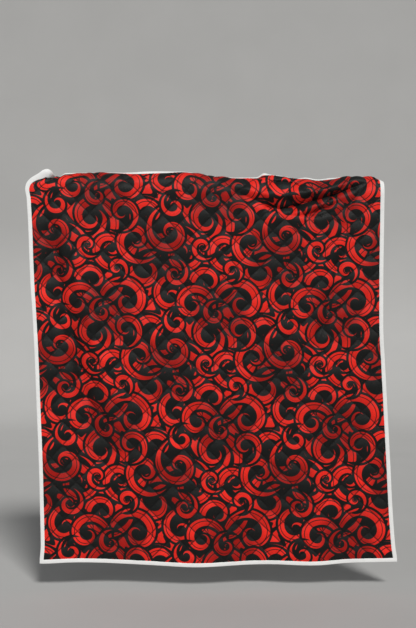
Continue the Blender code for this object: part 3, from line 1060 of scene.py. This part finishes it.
edges = (
    ("left", flatQuilt["height"], lambda along, inward: (inward, along), 1),
    ("right", flatQuilt["height"], lambda along, inward: (flatQuilt["width"] - inward, along), -1),
    ("top", flatQuilt["width"], lambda along, inward: (along, inward), -1),
    ("bottom", flatQuilt["width"], lambda along, inward: (along, flatQuilt["height"] - inward), 1),
)
for side, length, place, facing in edges:
    strip = bindingPiece("quilt_binding_" + side, length, place, facing)
    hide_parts("binding_" + side)


# Floor, backdrop, light and camera
print("stage")
stage = {
    "floorHeight": -2.330,
    "wallBack": 10.5,
    "bend": 3.0,
    "halfWidth": 15.0,
    "front": -15.0,
    "top": 7.0,
    "bendSteps": 16,
    "roughness": 0.9,
    "patches": 1.3,  # in a metre
    "darker": (0.40, 0.397, 0.390, 1),
    "paler": (0.44, 0.437, 0.430, 1),
    "sky": (0.80, 0.82, 0.85, 1),
    "skyStrength": 0.20,
}


def stageSurface():
    sweep = bmesh.new()
    bend, floor, wall = stage["bend"], stage["floorHeight"], stage["wallBack"]
    profile = [(stage["front"], floor), (0.0, floor), (wall - bend, floor)]
    for step in range(1, stage["bendSteps"]):
        angle = math.pi / 2 * step / stage["bendSteps"]
        profile.append((wall - bend + bend * math.sin(angle), floor + bend - bend * math.cos(angle)))
    profile += [(wall, floor + bend), (wall, stage["top"])]
    corners = [sweep.verts.new((-stage["halfWidth"], y, z)) for y, z in profile]
    lines = [sweep.edges.new(pair) for pair in zip(corners, corners[1:])]
    moved = bmesh.ops.extrude_edge_only(sweep, edges=lines)["geom"]
    for item in moved:
        if isinstance(item, bmesh.types.BMVert):
            item.co.x = stage["halfWidth"]
    bmesh.ops.recalc_face_normals(sweep, faces=sweep.faces[:])
    if sum(face.normal.z for face in sweep.faces) < 0:
        bmesh.ops.reverse_faces(sweep, faces=sweep.faces[:])
    for face in sweep.faces:
        face.smooth = True
    mesh = bpy.data.meshes.new("studio_floor_and_backdrop")
    sweep.to_mesh(mesh)
    sweep.free()
    material = bpy.data.materials.new("palePlaster")
    material.use_nodes = True
    tree = material.node_tree
    shader = tree.nodes["Principled BSDF"]
    shader.inputs["Roughness"].default_value = stage["roughness"]
    places = tree.nodes.new("ShaderNodeTexCoord").outputs["Object"]
    clouds = noise(tree, places, stage["patches"], 3.0)
    feed(tree, shader.inputs["Base Color"], mixColour(tree, clouds, stage["darker"], stage["paler"]))
    mesh.materials.append(material)
    surface = bpy.data.objects.new("studio_floor_and_backdrop", mesh)
    bpy.context.scene.collection.objects.link(surface)


def addLamp(name, place, target, size, watts, colour):
    data = bpy.data.lights.new(name, "AREA")
    data.shape = "RECTANGLE"
    data.size, data.size_y = size
    data.energy = watts
    data.color = colour
    lamp = bpy.data.objects.new(name, data)
    lamp.location = place
    lamp.rotation_euler = (Vector(target) - Vector(place)).to_track_quat("-Z", "Y").to_euler()
    bpy.context.scene.collection.objects.link(lamp)


def addSkylight(name, towards, spread, strength, colour):
    # even soft light from high in front, with no falling off from top to bottom
    data = bpy.data.lights.new(name, "SUN")
    data.angle = spread
    data.energy = strength
    data.color = colour
    lamp = bpy.data.objects.new(name, data)
    lamp.location = towards
    lamp.rotation_euler = Vector(towards).to_track_quat("Z", "Y").to_euler()
    bpy.context.scene.collection.objects.link(lamp)


stageSurface()
addSkylight(
    "key light",
    towards=(1.2, -3.8, 3.9),
    spread=math.radians(14),
    strength=2.85,
    colour=(1.0, 0.99, 0.97),
)
addLamp(
    "fill light",
    place=(-3.2, -4.6, 0.2),
    target=(0, 0, -1.2),
    size=(3.0, 3.0),
    watts=40,
    colour=(0.95, 0.98, 1.0),
)

world = bpy.data.worlds.new("studio")
world.use_nodes = True
background = world.node_tree.nodes["Background"]
background.inputs["Color"].default_value = stage["sky"]
background.inputs["Strength"].default_value = stage["skyStrength"]
bpy.context.scene.world = world
bpy.context.scene.view_settings.view_transform = "Standard"

photoView = {
    "metresPerPixel": 0.00563,
    "pixelsHigh": 628,
    "centre": (0.014, -0.788),
    "distance": 5.6,
    "sensor": 36,
}
cameraData = bpy.data.cameras.new("front camera")
longSide = photoView["pixelsHigh"] * photoView["metresPerPixel"]
cameraData.sensor_width = photoView["sensor"]
cameraData.lens = photoView["sensor"] * photoView["distance"] / longSide
camera = bpy.data.objects.new("front camera", cameraData)
camera.location = (
    photoView["centre"][0],
    -hanging["planeForward"] - photoView["distance"],
    photoView["centre"][1],
)
camera.rotation_euler = (math.pi / 2, 0, 0)
bpy.context.scene.collection.objects.link(camera)
bpy.context.scene.camera = camera

print("done")
